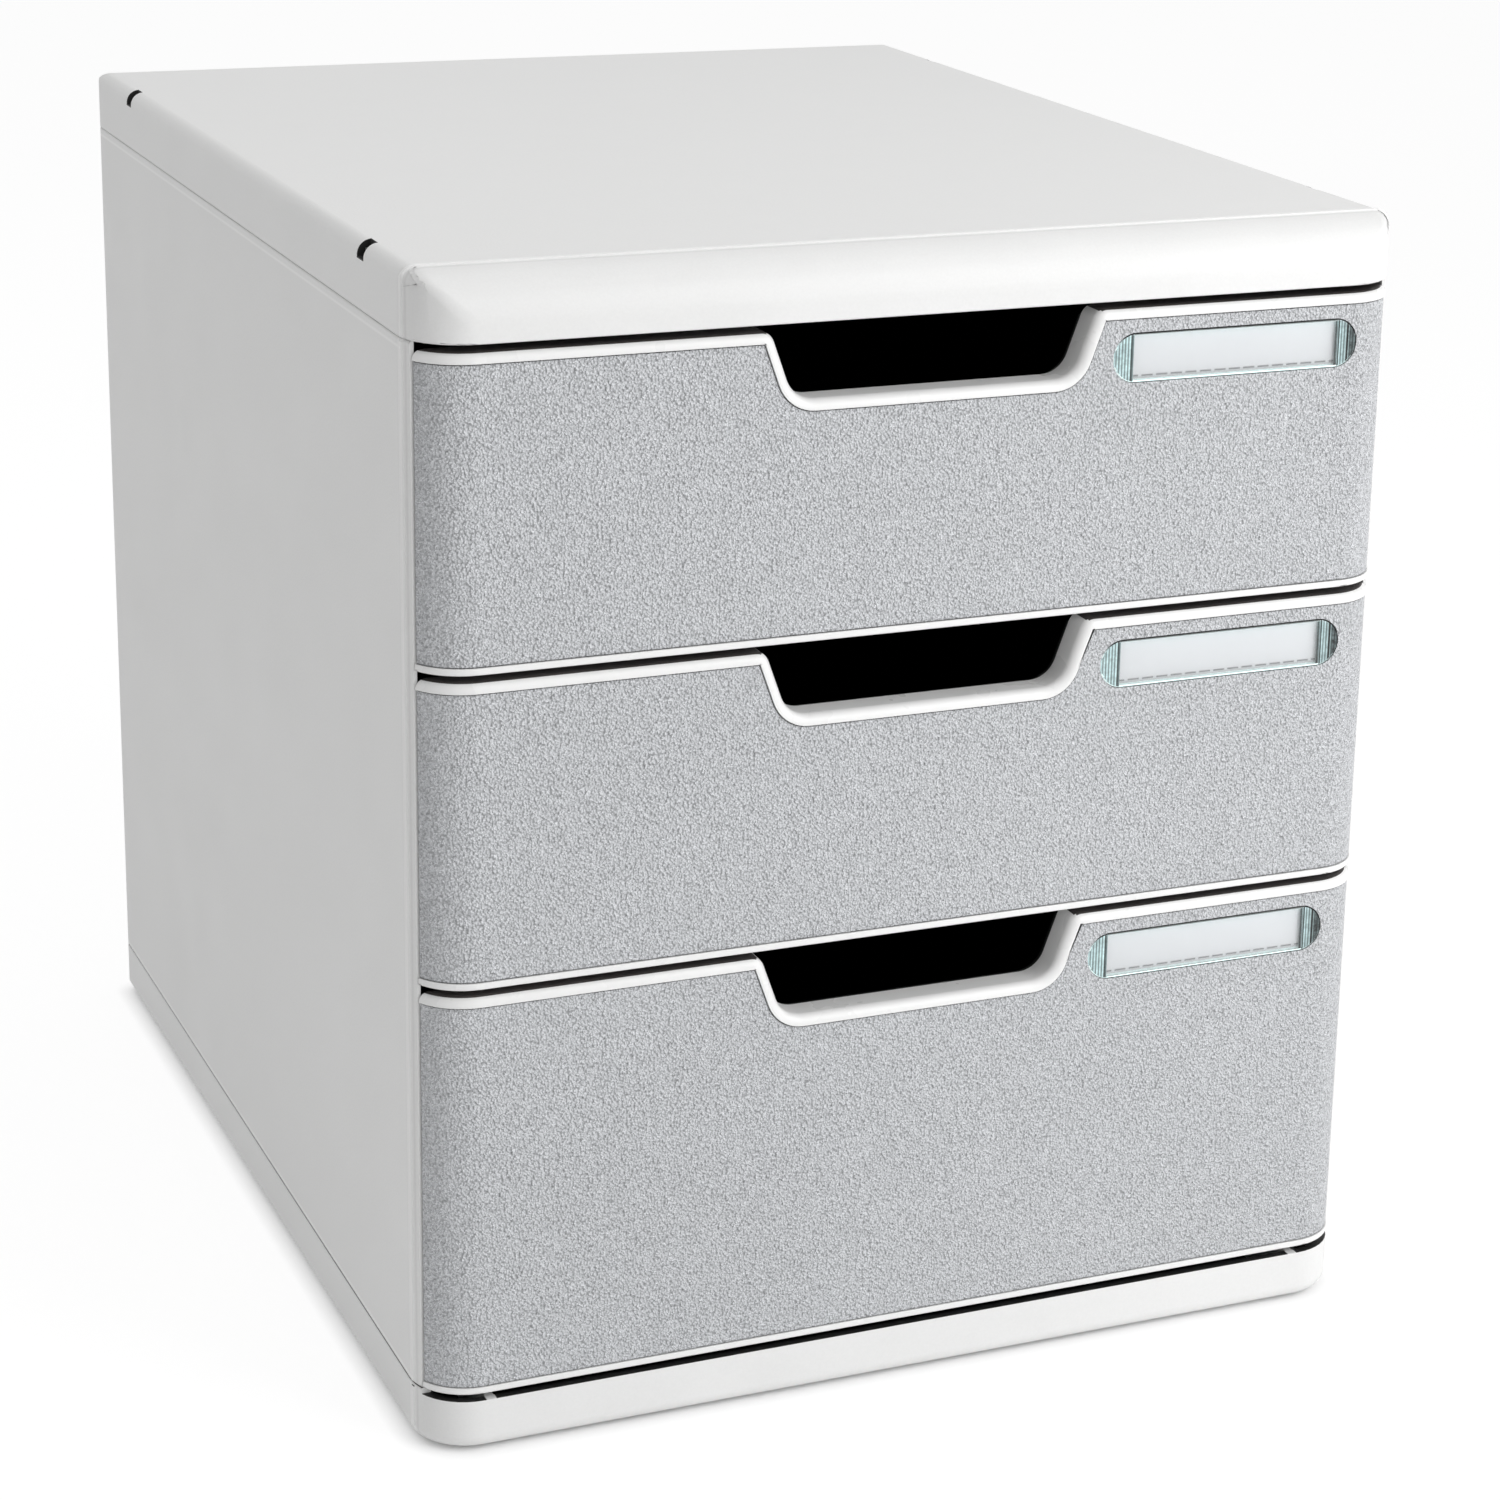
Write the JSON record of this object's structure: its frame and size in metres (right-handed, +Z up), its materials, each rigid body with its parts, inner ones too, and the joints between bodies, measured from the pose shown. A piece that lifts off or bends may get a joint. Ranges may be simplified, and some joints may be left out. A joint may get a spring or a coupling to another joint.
{
  "type": "desktop file drawer",
  "caption": "Free-standing desktop cabinet for A4 paper: a moulded casing with three sliding drawers, each with a finger cut-out and a label window.",
  "frame": {"origin": "middle of the casing's footprint, on the surface that the feet stand on", "axes": "+Z up, the drawers open towards -Y, +X to the right as seen by someone who faces the drawers"},
  "size_m": [0.2804, 0.355, 0.3204],
  "materials": {
    "casing_shell": "fine spark-eroded texture, satin sheen",
    "rim_white": "smooth, soft gloss",
    "plate_grey": "coarse pebble grain, satin",
    "tray_black": "fine spark-eroded texture, satin",
    "runner_grey": "smooth satin",
    "label_window": "clear, slightly green plastic, polished",
    "label_card": "uncoated card",
    "rubber_feet": "matt"
  },
  "bodies": {
    "casing": {"top_cover": "casing_shell", "base_tray": "casing_shell", "left_side_panel": "casing_shell", "right_side_panel": "casing_shell", "back_panel": "casing_shell", "rubber_feet": "rubber_feet", "top_left_runner": "runner_grey", "top_right_runner": "runner_grey", "middle_left_runner": "runner_grey", "middle_right_runner": "runner_grey", "lower_left_runner": "runner_grey", "lower_right_runner": "runner_grey"},
    "top_drawer": {"top_drawer_tray": "tray_black", "top_drawer_bezel": "rim_white", "top_drawer_plate": "plate_grey", "top_drawer_label_window": "label_window", "top_drawer_label_card": "label_card"},
    "middle_drawer": {"middle_drawer_tray": "tray_black", "middle_drawer_bezel": "rim_white", "middle_drawer_plate": "plate_grey", "middle_drawer_label_window": "label_window", "middle_drawer_label_card": "label_card"},
    "lower_drawer": {"lower_drawer_tray": "tray_black", "lower_drawer_bezel": "rim_white", "lower_drawer_plate": "plate_grey", "lower_drawer_label_window": "label_window", "lower_drawer_label_card": "label_card"}
  },
  "joints": [
    {"name": "top_drawer_slide", "type": "slide", "parent": "casing", "child": "top_drawer", "axis": [0, -1, 0], "range_m": [0, 0.28]},
    {"name": "middle_drawer_slide", "type": "slide", "parent": "casing", "child": "middle_drawer", "axis": [0, -1, 0], "range_m": [0, 0.28]},
    {"name": "lower_drawer_slide", "type": "slide", "parent": "casing", "child": "lower_drawer", "axis": [0, -1, 0], "range_m": [0, 0.28]}
  ]
}
